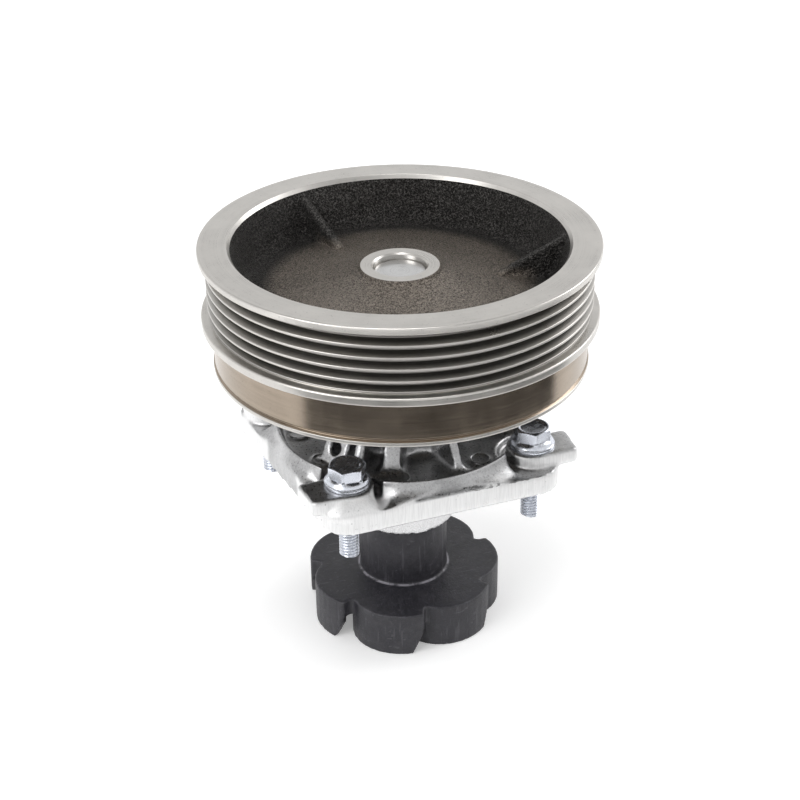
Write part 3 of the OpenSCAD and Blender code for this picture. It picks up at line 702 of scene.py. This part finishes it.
class PUMP_OT_pulley(bpy.types.Operator):
    """Cast pulley: a turned rim with belt grooves round a rough dish with three webs"""

    bl_idname = "pump.pulley"
    bl_label = "Cast Pulley"

    def dish(self, s):
        """Heights of the dish's top, floor and low edge, and the radii of its mouth and of its foot."""
        top = s.rim_top / MM
        floor = top - s.dish_depth / MM
        low = floor - s.floor_fall / MM
        mouth = s.dish_radius / MM
        return top, floor, low, mouth, mouth - (top - low) * DISH_LEAN

    def outline(self, s):
        """The pulley's section, from the bore up over the hub, the dish, the rim and the grooves."""
        top, floor, low, dish, foot = self.dish(s)
        bottom = s.rim_bottom / MM
        rim, crest, valley = s.rim_radius / MM, s.crest_radius / MM, s.groove_radius / MM
        track, under = s.track_radius / MM, s.underside_radius / MM
        hub, bore = s.hub_radius / MM, s.bore_radius / MM
        first = top - 3.2
        slope = (crest - valley) * math.tan(math.radians(20))
        mouth = 0.8 + 2 * slope
        corners = [
            (bore, 47.5, 0, TURNED), (bore, 62.5, 0, TURNED), (bore + 0.5, 63, 0.1, TURNED),
            (hub, 63, 0.25, CAST), (hub + 0.5, 62.0, 0.8, CAST), (hub + 3.8, 60.4, 4.5, CAST),
            (22.5, floor + 0.7, 14, CAST), (28, floor, 12, CAST), (foot, low, DISH_FILLET, CAST),
            (dish - 0.85, top - 1.15, 0.3, TURNED), (dish, top, 0.25, TURNED),
            (rim, top, 0.5, TURNED), (rim, top - 1.9, 0.3, TURNED),
        ]
        for i in range(GROOVES):
            z = first - i * s.groove_pitch / MM
            corners += [
                (crest, z, 0.28, GROOVE), (valley, z - slope, 0.3, GROOVE),
                (valley, z - slope - 0.8, 0.3, GROOVE), (crest, z - mouth, 0.28, GROOVE),
            ]
        end = first - (GROOVES - 1) * s.groove_pitch / MM - mouth
        corners += [
            (crest - 0.7, end - 0.35, 0.1, TURNED), (rim, end - 0.7, 0.55, TURNED),
            (rim, end - 3.1, 0.55, TURNED), (track, end - 4.0, 0.5, TRACK),
            (track, bottom + 2.4, 0.25, TRACK), (track - 0.6, bottom + 1.75, 0.2, TRACK),
            (track + 0.4, bottom + 1.2, 0.25, TURNED), (track + 0.4, bottom, 0.45, TURNED),
            (under, bottom, 0.6, CAST), (under, 52.5, 3, CAST), (15.05, 52.5, 1.5, CAST),
            (13.05, 50.5, 1.5, CAST), (13.05, 47.5, 0.4, TURNED),
        ]
        return rounded(corners)

    def web(self, s, turn):
        """One triangular web, from the dish's floor up its wall, with a sloping top edge.

        The wall is a cone above its fillet, and r = middle + sqrt(R^2 - (low + R - z)^2) in it. The web
        reaches in to radius 29.3 at its foot and runs out 18.9 further over the next 10.1 of height, where
        the gap g to the wall closes softly, as (g + sqrt(g^2 + 2.2)) / 2.
        """
        top, floor, low, dish, foot = self.dish(s)
        ring = DISH_FILLET
        middle = foot - ring * math.tan(math.radians(36))
        inner, spread, climb = 29.3, 18.9, 10.1

        def wall(z):
            lean = dish - (top - z) * DISH_LEAN
            drop = np.clip(low + ring - z, 0, ring)
            round_part = middle + np.sqrt(np.clip(ring**2 - drop**2, 0, ring**2))
            return np.where(z < low + 0.69 * ring, round_part, lean)

        def edge(z):
            gap = wall(z) - inner - np.clip(z - floor - 0.4, 0, None) * spread / climb
            return wall(z) - (gap + np.sqrt(gap**2 + 2.2)) / 2

        heights = low - 0.2 + (floor - low + 12.2) * np.linspace(0, 1, 40) ** 1.3
        return gusset(
            math.radians(turn), s.web_thickness / MM / 2, heights, wall, edge, low,
            s.web_fillet / MM, 1.9,
        )

    def execute(self, context):
        s = context.scene.pump_pulley
        outline, kinds = self.outline(s)
        shells = [revolve(outline, kinds, 400)] + [self.web(s, turn) for turn in WEB_TURNS]
        finishes = [
            cast_iron_finish("Sand-cast iron", s.skin_dark, s.skin_light, s.dust_colour),
            turned_iron_finish("Turned iron", s.turned_colour),
            groove_finish("Belt grooves", s.turned_colour, s.crest_radius, s.groove_radius),
            turned_iron_finish("Belt track", s.track_colour, 0.2),
        ]
        mesh = mesh_of("pulley_casting", shells)
        show("pulley_casting", mesh, "rotor", "cast_pulley", finishes, "pulley", flats=True)
        return {"FINISHED"}


class PUMP_OT_housing(bpy.types.Operator):
    """Die-cast housing: flange, drum, bearing tower with ribs, and ejector marks"""

    bl_idname = "pump.housing"
    bl_label = "Die-Cast Housing"

    def ribs(self, s):
        """The tall ribs round the tower, which widen into it and into the floor.

        Each one is given by its direction in degrees, half its thickness and how far its foot reaches. The
        last one is the short wide block beside the drain hole.
        """
        foot, tower, floor = s.rib_foot_radius / MM, s.tower_radius / MM, s.floor_height / MM
        lean = math.tan(math.radians(28))
        fillet = s.rib_fillet / MM
        heights = floor - 0.8 + 30.2 * np.linspace(0, 1, 40) ** 1.2
        plan = (
            (-80, 1.45, foot), (-135, 1.45, foot), (-25, 1.5, foot), (38, 1.45, foot), (90, 1.45, foot),
            (142, 1.45, foot), (-117, 2.6, foot - 4.5),
        )

        def wall(z):
            return tower - 0.018 * (z - floor)

        made = []
        for turn, half, reach in plan:

            def edge(z, reach=reach):
                return np.maximum(reach - (z - floor) * lean, wall(z) + 0.3)

            made.append(gusset(math.radians(turn), half, heights, wall, edge, floor, fillet, 0.8))
        return made

    def tower_foot(self, s):
        """A ring of metal that rounds the corner between the tower and the floor, with a quarter circle."""
        tower, floor = s.tower_radius / MM, s.floor_height / MM
        radius, sunk = 3, 0.8
        k = np.linspace(0, np.pi / 2, 9)
        arc = np.stack([tower + radius * (1 - np.cos(k)), floor + radius * (1 - np.sin(k))], axis=-1)
        buried = tower - 1.5
        inside = [[tower + radius, floor - sunk], [buried, floor - sunk], [buried, floor + radius]]
        outline = np.concatenate([arc, inside])
        return revolve(outline, np.zeros(len(outline), int), 180)

    def drum_foot(self, s):
        """The drum's wall and the hollow curve from it down to the flange, which the flange's edges cut off.

        At angle a, the flange's edge is at r = 40.45 / |sin a| in front, 36.4 / sin a behind and
        40.5 / (|cos a| - 0.083 sin a) beside. The curve falls from the wall as
        z = top - h + h (1 - sqrt(1 - (1 - t)^2)), with t from 0 at the wall to 1 at the curve's width,
        and it fades out round each bolt's pad.
        """
        drum, wide, low = s.drum_radius / MM, s.drum_fillet / MM, s.flange_height / MM
        a = np.linspace(0, 2 * np.pi, 360, endpoint=False)
        beside = 40.5 / (np.abs(np.cos(a)) - 0.083 * np.sin(a))
        ahead = np.where(np.sin(a) < 0, 40.45, 36.4) / np.maximum(np.abs(np.sin(a)), 0.01)
        reach = np.clip(np.minimum(np.where(beside > 0, beside, 99), ahead) - drum, 0, wide)
        pads = (
            (LEFT_FRONT, 9.4, 15.5), (RIGHT_FRONT, 10.3, 11.2), (RIGHT_REAR, 10.3, 11.5),
            (LEFT_REAR, 10.3, 11.5),
        )
        shown = np.ones_like(a)
        for (x, y), near, far in pads:
            gap = np.hypot(drum * np.cos(a) - x, drum * np.sin(a) - y)
            shown = np.minimum(shown, step(gap, near, far))
        top = 12
        high = (top - low) * shown
        level = np.zeros_like(a)
        rows = [(drum - 2.0, low - 1), (drum - 2.0, low + high - 0.4), (drum - 0.5, low + high)]
        for t in np.linspace(0, 1, 10):
            out = t * reach
            rows.append((drum + out, low - 0.1 + (high - 0.3) * (1 - np.sqrt(1 - (1 - out / wide) ** 2))))
        rows.append((drum + reach, low - 1))
        r = np.stack([level + row[0] for row in rows])
        z = np.stack([level + row[1] for row in rows])
        return skin(np.stack([r * np.cos(a), r * np.sin(a), z], axis=-1), ring=True)

    def pad_front(self, s):
        """The hollow curve from the front of the left pad down to the flange's front edge.

        Round the bolt, at angle a, it reaches out to min(11.15 / |sin a|, 12.5) at the flange, less where
        it turns away from the front, and comes back to the pad's own 7.7 as 1 - t^1.3 while it rises.
        """
        pad, rise, sunk = 7.7, 4.3, 1.2
        a = np.linspace(0, 2 * np.pi, 96, endpoint=False)
        front = np.where(np.cos(a) > 0, step(-np.sin(a), 0.6, 0.95), step(-np.sin(a), 0.15, 0.75))
        out = np.minimum(11.15 / np.maximum(-np.sin(a), 0.5), 12.5) - pad
        t = np.concatenate([[0, 0], np.linspace(0.1, 1, 9)])[:, None]
        r = pad + out * front * (1 - t**1.3)
        z = s.flange_height / MM + rise * t
        z[0] -= sunk
        x = LEFT_FRONT[0] + r * np.cos(a)
        y = LEFT_FRONT[1] + r * np.sin(a)
        return skin(np.stack([x, y, np.broadcast_to(z, x.shape)], axis=-1))

    def lean(self, s, mesh):
        """Gives the drum's wall its draft, and the right ear its full length.

        Between the drum's inner wall and its outside, r becomes inner + (r - inner)(1 - 0.6 k), where k
        rises smoothly with height over the flange. Past x = 36, the ear moves out by up to 1.6.
        """
        points, _ = points_and_normals(mesh)
        x, y, z = points.T.astype(float)
        r = np.hypot(x, y)
        inner = s.drum_radius / MM - 2.1
        ring = step(r, inner - 0.1, inner) * (1 - step(r, inner + 2.5, inner + 5.0))
        k = ring * step(z, s.flange_height / MM, 12.5) * (1 - step(z, 12.6, 13.0))
        scale = 1 - (r - inner) * 0.6 * k / np.maximum(r, 1)
        ear = 1.6 * step(x, 36.5, 41) * step(z, 6.0, 6.8) * step(-y, 12, 16)
        moved = np.stack([x * scale + ear, y * scale, z], axis=-1) * MM
        mesh.vertices.foreach_set("co", moved.astype(np.float32).ravel())
        mesh.update()

    def ejector_marks(self, s):
        """Low round pads with a raised rim, as the die's ejector pins leave them, on a circle of 32.05."""
        radius, floor, circle = s.mark_radius / MM, s.floor_height / MM, 32.05
        r = np.array([0.2, 0.75, 0.86, 0.93, 1.0, 1.05]) * radius
        z = floor + np.array([0.3, 0.32, 0.36, 0.58, 0.52, -0.6])
        a = np.linspace(0, 2 * np.pi, 40, endpoint=False)
        made = []
        for turn in (-112, -64, -159, 14, 62, 115, 170):
            x = circle * math.cos(math.radians(turn)) + r[:, None] * np.cos(a)
            y = circle * math.sin(math.radians(turn)) + r[:, None] * np.sin(a)
            made.append(skin(np.stack([x, y, np.broadcast_to(z[:, None], x.shape)], axis=-1)))
        return made

    def execute(self, context):
        s = context.scene.pump_housing
        extra = [*self.ribs(s), self.tower_foot(s), self.drum_foot(s), self.pad_front(s)]
        cast = recast("housing_casting", "housing", s.grain, 4, extra)
        self.lean(s, cast)
        points, normals = points_and_normals(cast)
        sideways = 1 - step(np.abs(normals[:, 2]), 0.35, 0.8)
        away = np.hypot(points[:, 0], points[:, 1])
        low = step(-points[:, 2], -6.9, -6.3)
        outer = np.maximum(step(away, 41.6, 42.2), step(-points[:, 1], 39.9, 40.3) * low)
        from_bolt = points[:, :2] - LEFT_FRONT
        pad = 1 - step(np.hypot(from_bolt[:, 0], from_bolt[:, 1]), 12.6, 13.2)
        slope = pad * step(-points[:, 1], 33, 35) * (1 - step(points[:, 2], 10.4, 10.8))
        mark(cast, "sanded", np.maximum(sideways * outer, slope))
        mark(cast, "machined", step(-points[:, 2], -0.3, 0.2))
        finish = housing_finish("Die-cast aluminium", s.skin_colour, s.sawn_colour)
        show("housing_casting", cast, "casing", "die_cast_aluminium", [finish], "housing", crease=80)
        marks = mesh_of("ejector_marks", self.ejector_marks(s))
        show("ejector_marks", marks, "casing", "die_cast_aluminium", [finish], crease=50)
        return {"FINISHED"}


class PUMP_OT_bolts(bpy.types.Operator):
    """Flange bolts: hexagon heads with a conical flange, rolled threads and rounded tips"""

    bl_idname = "pump.bolts"
    bl_label = "Flange Bolts"

    def bolt(self, s, x, y, seat, turn):
        """One bolt as rows from the top's middle to the tip.

        On the head, a row's radius follows the hexagon, flat / cos(angle to the nearest flat's middle). The
        top is cut by a cone, so a row there drops by the radius past the cone's foot times tan 30. On the
        thread, the radius falls from the crest by a rounded ridge whose phase is height / pitch less the
        angle in turns.
        """
        a = turn + np.linspace(0, 2 * np.pi, 96, endpoint=False)
        flat = s.across_flats / MM / 2
        high = s.head_height / MM
        fold = (a - turn) % (np.pi / 3) - np.pi / 6
        hexagon = np.minimum(flat / np.cos(fold), flat * 1.135)
        dimple = ((0.05, 0.5), (0.5, 0.45), (0.72, 0.38), (0.8, 0.12), (0.87, 0.0), (0.94, 0.0))
        rows = [(flat * portion, high - drop) for portion, drop in dimple]
        cone = flat * 0.975
        for portion in (0.0, 0.5, 0.85, 1.0):
            r = cone + (hexagon - cone) * portion
            rows.append((r, high - 0.05 - (r - cone) * math.tan(math.radians(30)) - 0.12 * (portion == 1)))
        rows += [(hexagon * 1.003, 3.4), (hexagon * 1.006, 2.75)]
        rim = s.flange_radius / MM
        rows += [
            (5.85, 2.35), (6.2, 1.95), (rim - 0.32, 1.32), (rim - 0.1, 1.18), (rim, 0.9), (rim, 0.3),
            (rim - 0.1, 0.08), (rim - 0.35, 0.0), (4.6, 0.0), (3.2, 0.0),
        ]
        length_below, thread = s.shank_length / MM, s.thread_length / MM
        crest, pitch = s.thread_radius / MM, s.thread_pitch / MM
        relief = 0.2
        first = thread - length_below
        rows += [(crest - relief, z) for z in (-0.3, -3.0, -7.0, first + 0.5)]
        for z in np.arange(first, -length_below + 0.45, -0.085):
            phase = (z / pitch - (a / (2 * np.pi))) % 1.0
            ridge = 0.5 - 0.5 * np.cos(2 * np.pi * phase)
            tip = np.clip((z + length_below) / 1.1, 0, 1)
            depth = 0.56 * (1 - ridge**0.8) + 0.75 * (1 - np.sqrt(1 - (1 - tip) ** 2))
            start = np.clip((first - z) / 0.8, 0, 1)
            rows.append((crest - depth * start - relief * (1 - start), z))
        rows += [(r, z - length_below) for r, z in ((1.9, 0.25), (1.5, 0.06), (0.7, 0.0))]
        r = np.stack([np.zeros_like(a) + row[0] for row in rows])
        z = np.stack([np.zeros_like(a) + row[1] for row in rows])
        return skin(np.stack([x + r * np.cos(a), y + r * np.sin(a), seat + z], axis=-1))

    def execute(self, context):
        s = context.scene.pump_bolts
        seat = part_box("flange_bolts")[1].z / MM - s.head_height / MM
        shells = [self.bolt(s, x, y, seat, math.radians(turn)) for (x, y), turn in BOLTS]
        finish = zinc_finish("Bright zinc", s.zinc_colour)
        mesh = mesh_of("zinc_bolts", shells)
        show("zinc_bolts", mesh, "casing", "zinc_plate", [finish], "flange_bolts", crease=28, flats=True)
        return {"FINISHED"}


class PUMP_OT_impeller(bpy.types.Operator):
    """Moulded impeller: soft edges, glass streaks and pale flash along its rims"""

    bl_idname = "pump.impeller"
    bl_label = "Moulded Impeller"

    def execute(self, context):
        s = context.scene.pump_impeller
        cast = recast("impeller_moulding", "impeller", s.grain, 3)
        points, normals = points_and_normals(cast)
        away = np.hypot(points[:, 0], points[:, 1])
        disc_top, seam_turn, seam_width = -42.0, math.radians(-47), 0.3
        near_top = np.exp(-(((points[:, 2] - disc_top) / 0.35) ** 2))
        rim = near_top * step(np.hypot(normals[:, 0], normals[:, 1]), 0.35, 0.75)
        neck = near_top * step(15.2 - away, 0, 0.8)
        angle = np.arctan2(points[:, 1], points[:, 0])
        seam = np.exp(-(((angle - seam_turn) * away / seam_width) ** 2)) * step(15 - away, 0, 0.5)
        mark(cast, "flash", rim * 0.5 + neck * 0.15 + seam * 0.6)
        finish = plastic_finish("Glass-filled plastic", s.plastic_colour, s.scuff_colour, s.scuffs)
        show("impeller_moulding", cast, "rotor", "black_plastic", [finish], "impeller", crease=60)
        return {"FINISHED"}


class PUMP_OT_inner_parts(bpy.types.Operator):
    """Finishes of the pieces that the frame shows as they are: shaft, bearing, seal and gaskets"""

    bl_idname = "pump.inner_parts"
    bl_label = "Inner Parts"

    def execute(self, context):
        bright = ground_steel_finish("Ground shaft", (0.62, 0.62, 0.62))
        bearing = ground_steel_finish("Bearing steel", (0.5, 0.5, 0.51), 0.16)
        spring = ground_steel_finish("Spring wire", (0.58, 0.59, 0.6), 0.3)
        rubber = moulded_finish("Black rubber", (0.018, 0.018, 0.018), 0.6)
        cage = moulded_finish("Cage plastic", (0.3, 0.22, 0.12), 0.45)
        carbon = moulded_finish("Carbon", (0.045, 0.045, 0.05), 0.3, 2500, 0.00002)
        ceramic = moulded_finish("Ceramic", (0.8, 0.77, 0.7), 0.25, 1500, 0.00001)
        brass = turned_iron_finish("Turned brass", (0.62, 0.47, 0.2), 0.28)
        sheet = turned_iron_finish("Pressed brass", (0.66, 0.53, 0.27), 0.34)
        plan = {
            "shaft": bright, "bearing_sleeve": bearing, "bearing_balls": bearing,
            "bearing_rollers": bearing, "seal_spring": spring, "ball_cage": cage, "roller_cage": cage,
            "outer_bearing_seal": rubber, "inner_bearing_seal": rubber, "seal_bellows": rubber,
            "seal_seat_gasket": rubber, "slinger": rubber, "flange_o_ring": rubber,
            "seal_carbon_ring": carbon, "seal_seat_ring": ceramic, "impeller_bush": brass,
            "seal_cup": sheet,
        }
        for node, finish in plan.items():
            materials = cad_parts[node].data.materials
            while materials:
                materials.pop()
            materials.append(finish)
        return {"FINISHED"}


class PUMP_OT_stage(bpy.types.Operator):
    """Camera, soft lights and a pale floor"""

    bl_idname = "pump.stage"
    bl_label = "Stage"

    def panel(self, name, place, aim, width, height, power):
        """A soft rectangular light at a place, which faces another place."""
        light = bpy.data.lights.new(name, "AREA")
        light.shape = "RECTANGLE"
        light.size = width
        light.size_y = height
        light.energy = power
        lamp = bpy.data.objects.new(name, light)
        lamp.location = place
        lamp.rotation_mode = "QUATERNION"
        lamp.rotation_quaternion = (Vector(aim) - Vector(place)).to_track_quat("-Z", "Y")
        bpy.context.scene.collection.objects.link(lamp)
        lamp.visible_camera = False

    def surroundings(self, scene, s):
        """Pale surroundings, brightest at eye level and darker overhead."""
        world = bpy.data.worlds.new("surroundings")
        world.use_nodes = True
        tree = world.node_tree
        place = tree.nodes.new("ShaderNodeTexCoord")
        apart = tree.nodes.new("ShaderNodeSeparateXYZ")
        ramp = tree.nodes.new("ShaderNodeMapRange")
        tree.links.new(place.outputs["Generated"], apart.inputs[0])
        tree.links.new(apart.outputs["Z"], ramp.inputs["Value"])
        levels = {"From Min": 0.45, "From Max": 0.95, "To Min": s.sky, "To Max": s.zenith}
        for key, value in levels.items():
            ramp.inputs[key].default_value = value
        tree.links.new(ramp.outputs[0], tree.nodes["Background"].inputs["Strength"])
        tree.nodes["Background"].inputs["Color"].default_value = (1, 1, 1, 1)
        scene.world = world
        scene.view_settings.view_transform = "Standard"

    def dark_card(self, s, floor):
        """A low dark screen on an arc before the pump, which only the shiny faces see."""
        turn = np.radians(np.linspace(-52, 92, 33)) + s.azimuth - np.pi / 2
        radius, low, high = 0.19, floor + 0.001, 0.006
        x, y = radius * np.cos(turn), radius * np.sin(turn)
        rows = [np.stack([x, y, np.full_like(x, z)], axis=-1) for z in (low, high)]
        corners = np.concatenate(rows).tolist()
        count = len(x)
        faces = [(i, i + 1, i + 1 + count, i + count) for i in range(count - 1)]
        dark = Finish("Dark card")
        tone = dark.blend(dark.noise(3, 2), (0.02, 0.02, 0.02), (0.03, 0.03, 0.03))
        dark.finished(Base_Color=tone, Roughness=0.9)
        card = self.sheet("dark_card", corners, faces, dark.material)
        card.visible_camera = False
        card.visible_diffuse = False

    def sheet(self, name, corners, faces, finish):
        """A thin sheet that belongs to the stage."""
        mesh = bpy.data.meshes.new(name)
        mesh.from_pydata(corners, [], faces)
        mesh.materials.append(finish)
        made = bpy.data.objects.new(name, mesh)
        bpy.context.scene.collection.objects.link(made)
        return made

    def execute(self, context):
        s = context.scene.pump_stage
        scene = context.scene
        camera = bpy.data.objects.new("camera", bpy.data.cameras.new("camera"))
        camera.data.lens = s.lens
        camera.data.sensor_width = 36
        camera.data.clip_start = 0.01
        camera.location = s.eye
        back = Vector((
            math.sin(s.azimuth) * math.cos(s.elevation),
            -math.cos(s.azimuth) * math.cos(s.elevation),
            math.sin(s.elevation),
        ))
        camera.rotation_mode = "QUATERNION"
        camera.rotation_quaternion = (-back).to_track_quat("-Z", "Y") @ Quaternion((0, 0, 1), s.roll)
        scene.collection.objects.link(camera)
        scene.camera = camera
        self.surroundings(scene, s)
        floor = CAD_BOX[0].z
        pale = Finish("Pale floor")
        tint = tuple(s.floor_colour)
        tone = pale.blend(pale.noise(3, 2), shade(tint, 0.99), tint)
        pale.finished(
            Base_Color=tone, Roughness=0.8, Metallic=0.0, Emission_Color=tint + (1.0,),
            Emission_Strength=s.floor_glow,
        )
        reach = 3
        corners = [(x * reach, y * reach, floor) for x, y in ((-1, -1), (1, -1), (1, 1), (-1, 1))]
        self.sheet("floor", corners, [(0, 1, 2, 3)], pale.material)
        self.dark_card(s, floor)
        self.panel("left_panel", (-0.75, -0.3, 0.55), (0, 0, 0), 0.5, 0.6, 3.5)
        self.panel("right_panel", (0.8, 0.1, 0.5), (0, 0, 0), 0.4, 0.6, 2.5)
        self.panel("top_panel", (-0.1, -0.1, 1.3), (0, 0, 0), 0.5, 0.5, 5)
        return {"FINISHED"}


class PUMP_PT_looks(bpy.types.Panel):
    """The pump's pieces and their settings"""

    bl_idname = "PUMP_PT_looks"
    bl_label = "Coolant Pump"
    bl_space_type = "VIEW_3D"
    bl_region_type = "UI"
    bl_category = "Coolant Pump"

    def draw(self, context):
        for operator, group in STEPS:
            box = self.layout.box()
            box.operator(operator.bl_idname)
            if group:
                settings = getattr(context.scene, group)
                for name in settings.bl_rna.properties.keys():
                    if name not in ("rna_type", "name"):
                        box.prop(settings, name)


GROUPS = {
    "pump_pulley": PumpPulleySizes,
    "pump_housing": PumpHousingSizes,
    "pump_bolts": PumpBoltSizes,
    "pump_impeller": PumpImpellerSizes,
    "pump_stage": PumpStageSettings,
}
STEPS = (
    (PUMP_OT_pulley, "pump_pulley"),
    (PUMP_OT_housing, "pump_housing"),
    (PUMP_OT_bolts, "pump_bolts"),
    (PUMP_OT_impeller, "pump_impeller"),
    (PUMP_OT_inner_parts, None),
    (PUMP_OT_stage, "pump_stage"),
)


def register():
    """Registers the groups, operators and panel, and adds the groups to the scene."""
    for name, group in GROUPS.items():
        bpy.utils.register_class(group)
        setattr(bpy.types.Scene, name, bpy.props.PointerProperty(type=group))
    for operator, _ in STEPS:
        bpy.utils.register_class(operator)
    bpy.utils.register_class(PUMP_PT_looks)


def unregister():
    """Takes away what register added."""
    bpy.utils.unregister_class(PUMP_PT_looks)
    for operator, _ in reversed(STEPS):
        bpy.utils.unregister_class(operator)
    for name, group in GROUPS.items():
        delattr(bpy.types.Scene, name)
        bpy.utils.unregister_class(group)


def main():
    """Registers the groups, operators and panel, and builds every piece and the stage."""
    register()
    for name in ("pulley", "housing", "bolts", "impeller", "inner_parts", "stage"):
        getattr(bpy.ops.pump, name)()


if __name__ == "__main__":
    main()
